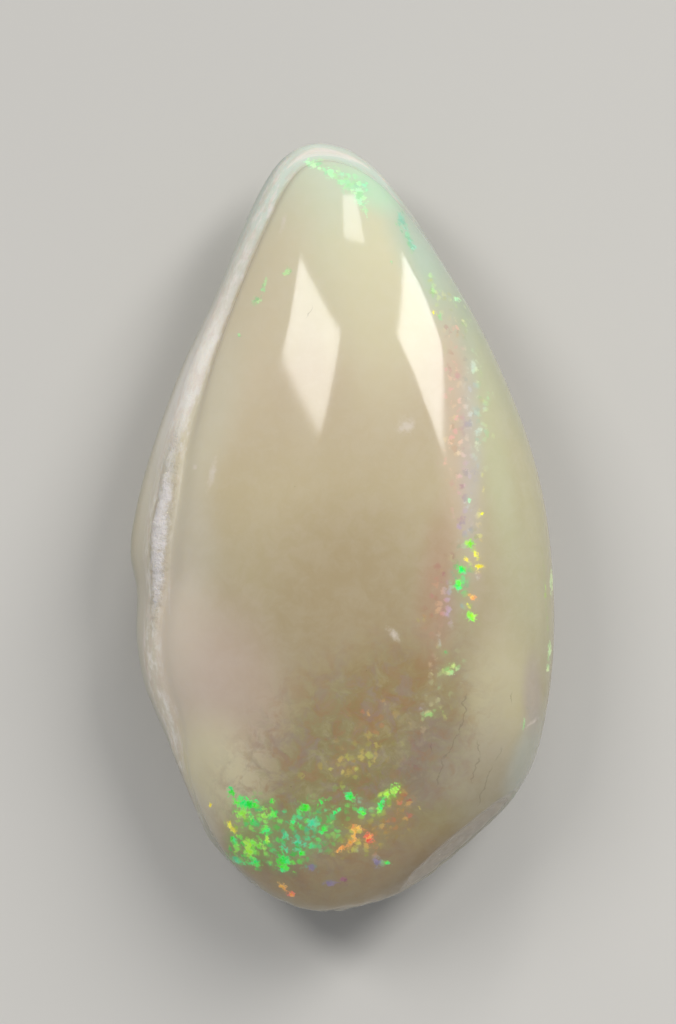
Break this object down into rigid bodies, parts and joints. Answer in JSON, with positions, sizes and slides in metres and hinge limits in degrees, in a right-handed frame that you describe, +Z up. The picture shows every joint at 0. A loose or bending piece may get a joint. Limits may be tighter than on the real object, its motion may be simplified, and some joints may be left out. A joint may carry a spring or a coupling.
{
  "type": "opalized clam fossil",
  "caption": "Closed clam fossil in milky opal with a domed polished front shell, a groove between the shells and flecks of green and red fire; it lies on a small worn flat.",
  "frame": {"origin": "on the surface that the clam lies on, below the middle of its outline and at the middle of the worn flat on its back shell", "axes": "+Z up out of the domed front shell, +Y along the clam towards its beak, +X to the right of the front shell as it is looked down on"},
  "size_m": [0.0232, 0.042, 0.0138],
  "materials": {
    "opal": null
  },
  "bodies": {
    "root": {"opalized_clam": "opal"}
  },
  "joints": []
}
